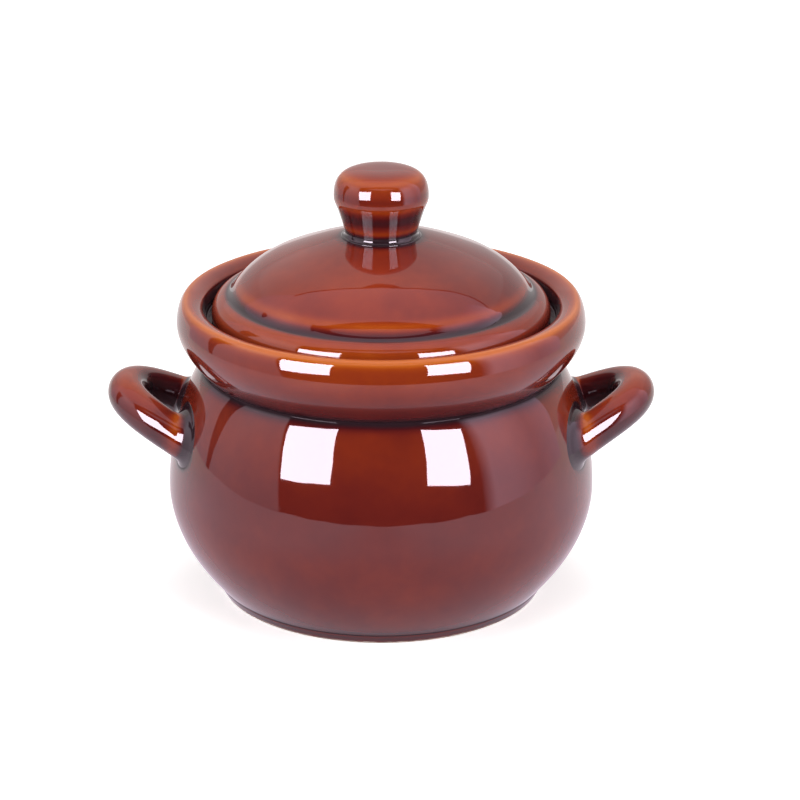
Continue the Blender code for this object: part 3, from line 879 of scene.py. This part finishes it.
def reflected_only(name, bm, tint):
    """A glowing or dark card, hidden from the camera and from the diffuse light."""
    material, tree = new_material(name)
    tree.nodes.clear()
    light = add_node(tree, "ShaderNodeEmission", (200, 0), Color=(*tint, 1.0))
    output = add_node(tree, "ShaderNodeOutputMaterial", (400, 0))
    tree.links.new(named_attribute(tree, (0, 0), "glow"), light.inputs["Strength"])
    tree.links.new(light.outputs[0], output.inputs["Surface"])
    card = new_piece(name, bm, material)
    for ray in ("camera", "diffuse", "transmission", "volume_scatter", "shadow"):
        setattr(card, "visible_" + ray, False)
    return card


def make_cards(studio):
    """The softboxes, the dark front of the room, the bright panels at its sides and its ceiling."""
    edge, top, light = studio.room_edge, studio.ceiling, studio.softbox_light
    foot, middle, low = studio.table_edge, 0.7, 0.002
    wall, softbox = 0.92, (0.85, 0.85)
    arc_card("softbox_left", softbox, (-53.5, 0.15, -58.5, 0.60, light, light),
             (-26.0, 0.20, -28.0, 0.78, light, light))
    arc_card("softbox_right", softbox, (24.0, 0.19, 26.0, 0.77, light, light),
             (46.5, 0.145, 50.5, 0.61, light, light))
    arc_card("dark_room", (edge, edge), (-70, low, -70, top - 0.01, 0, 0), (60, low, 60, top - 0.01, 0, 0))
    arc_card("dark_table", (foot, edge), (-51.9, low, -51.9, low, 0, 0), (55, low, 55, low, 0, 0))
    arc_card("dark_gap_left", (foot - 0.01, 0.87), (-102.7, low, -108, 0.6, 0.1, 0.1),
             (-99.8, low, -93, 0.6, 0.1, 0.1))
    # each upright edge of a panel: its turns at foot, middle and top, and its brightness there
    left = ((-125, -125, -125, 0.8, 1.0, 1.1), (-108, -108, -108, 0.9, 1.3, 1.15),
            (-85, -85, -85, 1.0, 2.0, 1.15), (-52.5, -62.4, -69.5, 0.9, 1.65, 1.15),
            (-51.3, -61.2, -68.3, 0.0, 0.0, 0.0))
    right = ((52, 52, 52, 0.0, 0.0, 0.0), (60, 60, 60, 2.2, 2.8, 1.2), (72, 72, 72, 1.9, 2.8, 1.2),
             (90, 90, 90, 1.1, 1.75, 1.2), (109, 109, 109, 1.2, 2.25, 1.2))
    for name, edges, tint in (("panel_left", left, ROOM_TINT), ("panel_right", right, RIGHT_TINT)):
        lower = [(a, low, b, middle, dim, mid) for a, b, _, dim, mid, _ in edges]
        upper = [(b, middle, c, top, mid, high) for _, b, c, _, mid, high in edges]
        arc_card(name, (foot, wall), *lower, tint=tint)
        arc_card(name + "_top", (wall, wall), *upper, tint=tint)
    level_card("ceiling_near", (2.1, 0.32), (0.0, -0.77, top), 1.0)
    level_card("dark_ceiling", (2.1, 0.20), (0.0, -0.51, top), 0.0)
    level_card("ceiling_front", (3.0, 0.90), (0.0, 0.04, top), 1.15)
    level_card("ceiling_back", (3.0, 2.4), (0.0, 1.715, top), 0.9, FAR_TINT)
    level_card("ceiling_seam", (3.0, 0.032), (0.0, 0.50, top), 0.0)


def light_path(tree):
    """1 for camera rays and 1 for glossy rays, as two links."""
    path = add_node(tree, "ShaderNodeLightPath", (-600, 300))
    return path.outputs["Is Camera Ray"], path.outputs["Is Glossy Ray"]


def make_floor():
    """The white table, which keeps the pot's soft shadow, and its even look in the glaze."""
    bm = bmesh.new()
    bmesh.ops.create_grid(bm, x_segments=2, y_segments=2, size=6.0)
    material, tree = new_material("white_table")
    tree.nodes.clear()
    camera, glossy = light_path(tree)
    whiteness, added_glow = 0.8, 0.6
    paint = add_node(tree, "ShaderNodeBsdfDiffuse", (200, 0), Color=(whiteness, whiteness, whiteness, 1.0))
    glow = add_node(tree, "ShaderNodeEmission", (200, -150), Color=(1.0, 1.0, 1.0, 1.0))
    tree.links.new(math_node(tree, "MULTIPLY", (0, -100), camera, added_glow), glow.inputs["Strength"])
    lit = add_node(tree, "ShaderNodeAddShader", (400, 0))
    coords = add_node(tree, "ShaderNodeTexCoord", (-600, -300)).outputs["Object"]
    split = split_place(tree, coords, (-400, -550))
    from_middle = add_node(tree, "ShaderNodeVectorMath", (-400, -300))
    from_middle.operation = "LENGTH"
    tree.links.new(coords, from_middle.inputs[0])
    # the table is darker where the pot shades it
    rise = map_range(tree, (-200, -300), from_middle.outputs["Value"], 0.07, 0.25, 0.78, 1.08)
    # the softboxes light the table most on both sides of its middle
    across = math_node(tree, "ABSOLUTE", (-300, -650), split["X"])
    aside = map_range(tree, (-200, -550), across, 0.03, 0.16, 0.0, 0.3)
    mirrored = add_node(tree, "ShaderNodeEmission", (200, -300))
    tree.links.new(math_node(tree, "ADD", (0, -400), rise, aside), mirrored.inputs["Strength"])
    # behind the pot the table is further from the softboxes
    behind = map_range(tree, (-200, -800), split["Y"], 0.0, 0.2, 0.0, 1.0)
    tint = mix_colors(tree, (0, -600), behind, ROOM_TINT, tuple(0.84 * part for part in FAR_TINT))
    tree.links.new(tint, mirrored.inputs["Color"])
    both = add_node(tree, "ShaderNodeMixShader", (600, 0))
    output = add_node(tree, "ShaderNodeOutputMaterial", (800, 0))
    tree.links.new(paint.outputs[0], lit.inputs[0])
    tree.links.new(glow.outputs[0], lit.inputs[1])
    tree.links.new(glossy, both.inputs[0])
    tree.links.new(lit.outputs[0], both.inputs[1])
    tree.links.new(mirrored.outputs[0], both.inputs[2])
    tree.links.new(both.outputs[0], output.inputs["Surface"])
    new_piece("table", bm, material)


def make_world(level, mirrored):
    """White to the camera, a plain level as light, and another level in the glaze."""
    world = bpy.data.worlds.new("white_studio")
    bpy.context.scene.world = world
    world.use_nodes = True
    tree = world.node_tree
    background = tree.nodes["Background"]
    camera, glossy = light_path(tree)
    tint = mix_colors(tree, (-200, 100), glossy, (1.0, 1.0, 1.0), FAR_TINT)
    tree.links.new(tint, background.inputs["Color"])
    shine = math_node(tree, "MULTIPLY_ADD", (-200, 300), camera, 1.0 - level, level)
    shine = math_node(tree, "MULTIPLY_ADD", (0, 300), glossy, mirrored - level, shine)
    tree.links.new(shine, background.inputs["Strength"])


def area_light(name, place, size, power):
    """A soft rectangular light on the pot that doesn't show in the glaze."""
    belly = Vector((0.0, 0.0, 0.08))
    data = bpy.data.lights.new(name, "AREA")
    data.shape = "RECTANGLE"
    data.size, data.size_y = size
    data.energy = power
    lamp = bpy.data.objects.new(name, data)
    lamp.location = place
    lamp.rotation_mode = "QUATERNION"
    lamp.rotation_quaternion = (belly - Vector(place)).to_track_quat("-Z", "Y")
    lamp.visible_glossy = False
    lamp.visible_camera = False
    bpy.context.scene.collection.objects.link(lamp)


def make_camera(studio):
    """The photograph's view."""
    data = bpy.data.cameras.new("camera")
    data.sensor_width = 36.0
    data.lens = studio.lens
    data.shift_x = studio.lens_shift
    data.clip_start = 0.05
    data.clip_end = 50.0
    camera = bpy.data.objects.new("camera", data)
    camera.location = (0.0, -studio.camera_distance, studio.camera_height)
    camera.rotation_euler = (math.pi / 2 - studio.camera_tilt, 0.0, 0.0)
    bpy.context.scene.collection.objects.link(camera)
    bpy.context.scene.camera = camera


# Operators

def settings():
    """The values that the operators read."""
    return bpy.context.scene.casserole


def hand_over(piece, body, node):
    """Let a finished piece ride on its body, in place of its plain solid."""
    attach(piece, body)
    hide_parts(node)


class CASSEROLE_OT_body(bpy.types.Operator):
    """Turn the pot's body and glaze it"""
    bl_idname = "casserole.body"
    bl_label = "Make Body"

    def execute(self, context):
        pot, ear, look = settings().pot, settings().ear, settings().glaze
        coat = glaze("brown_glaze_body", look, 0.7, look.clay_line, pot.foot_recess, pot.foot_radius - 2 * MM)
        piece = new_piece("glazed_body", turned(body_section(pot), pot.steps), coat)
        make_waves(piece.data, look.wave_size, look.wave_height)
        paint_run(piece.data, look, 0.0, BODY_BANDS, glaze_round_ears(pot, ear))
        hand_over(piece, "pot", "pot_body")
        return {"FINISHED"}


class CASSEROLE_OT_ears(bpy.types.Operator):
    """Pull the two ear handles and join them to the shoulder"""
    bl_idname = "casserole.ears"
    bl_label = "Make Ear Handles"

    def execute(self, context):
        pot, ear, look = settings().pot, settings().ear, settings().glaze
        for name, side, turn_in in (("left", -1, ear.turn_in), ("right", 1, ear.right_turn_in)):
            piece = make_ear("glazed_ear_" + name, ear_rings(pot, ear, turn_in), ear.segments, side,
                             glaze("brown_glaze_ear_" + name, look, 1.6))
            hand_over(piece, "pot", "handle_" + name)
        return {"FINISHED"}


class CASSEROLE_OT_lid(bpy.types.Operator):
    """Turn the lid and glaze it"""
    bl_idname = "casserole.lid"
    bl_label = "Make Lid"

    def execute(self, context):
        lid, look = settings().lid, settings().glaze
        piece = new_piece("glazed_lid", turned(lid_section(lid), settings().pot.steps),
                          glaze("brown_glaze_lid", look, 0.8))
        make_waves(piece.data, look.wave_size, look.wave_height)
        paint_run(piece.data, look, 0.08, LID_BANDS, thicken_on_the_right)
        hand_over(piece, "lid", "lid")
        return {"FINISHED"}


class CASSEROLE_OT_knob(bpy.types.Operator):
    """Turn the knob and glaze it"""
    bl_idname = "casserole.knob"
    bl_label = "Make Knob"

    def execute(self, context):
        knob, lid, look = settings().knob, settings().lid, settings().glaze
        piece = new_piece("glazed_knob", turned(knob_section(knob, lid), knob.steps),
                          glaze("brown_glaze_knob", look, 0.5))
        make_waves(piece.data, look.wave_size / 2, look.wave_height / 2)
        paint_run(piece.data, look, 0.1, KNOB_BANDS)
        hand_over(piece, "lid", "lid_knob")
        return {"FINISHED"}


class CASSEROLE_OT_studio(bpy.types.Operator):
    """Set up the table, the lights and the camera"""
    bl_idname = "casserole.studio"
    bl_label = "Set Up Studio"

    def execute(self, context):
        studio = settings().studio
        make_floor()
        make_world(studio.room_light, studio.room_mirrored)
        make_camera(studio)
        make_cards(studio)
        area_light("soft_left", (-0.75, -0.85, 0.75), (0.6, 0.6), 5.6)
        area_light("soft_right", (0.75, -0.85, 0.75), (0.6, 0.6), 5.6)
        area_light("soft_top", (0.0, 0.2, 1.3), (1.2, 1.0), 11.0)
        context.scene.view_settings.view_transform = "Standard"
        return {"FINISHED"}


class CASSEROLE_PT_panel(bpy.types.Panel):
    """Lists the steps in the order in which they are made"""
    bl_label = "Casserole Pot"
    bl_space_type = "VIEW_3D"
    bl_region_type = "UI"
    bl_category = "Casserole"

    def draw(self, context):
        for step in STEPS:
            self.layout.operator(step.bl_idname)
        for group in ("pot", "lid", "knob", "ear", "glaze", "studio"):
            values = getattr(context.scene.casserole, group)
            box = self.layout.box()
            box.label(text=group.title())
            for name in values.__annotations__:
                box.prop(values, name)


STEPS = (CASSEROLE_OT_body, CASSEROLE_OT_ears, CASSEROLE_OT_lid, CASSEROLE_OT_knob, CASSEROLE_OT_studio)
CLASSES = (PotSizes, LidSizes, KnobSizes, EarSizes, GlazeLook, StudioLook, CasseroleSettings, *STEPS,
           CASSEROLE_PT_panel)


def register():
    for cls in CLASSES:
        bpy.utils.register_class(cls)
    bpy.types.Scene.casserole = PointerProperty(type=CasseroleSettings)


def unregister():
    del bpy.types.Scene.casserole
    for cls in reversed(CLASSES):
        bpy.utils.unregister_class(cls)


def main():
    """Make every piece and the studio."""
    register()
    bpy.ops.casserole.body()
    bpy.ops.casserole.ears()
    bpy.ops.casserole.lid()
    bpy.ops.casserole.knob()
    bpy.ops.casserole.studio()


if __name__ == "__main__":
    main()
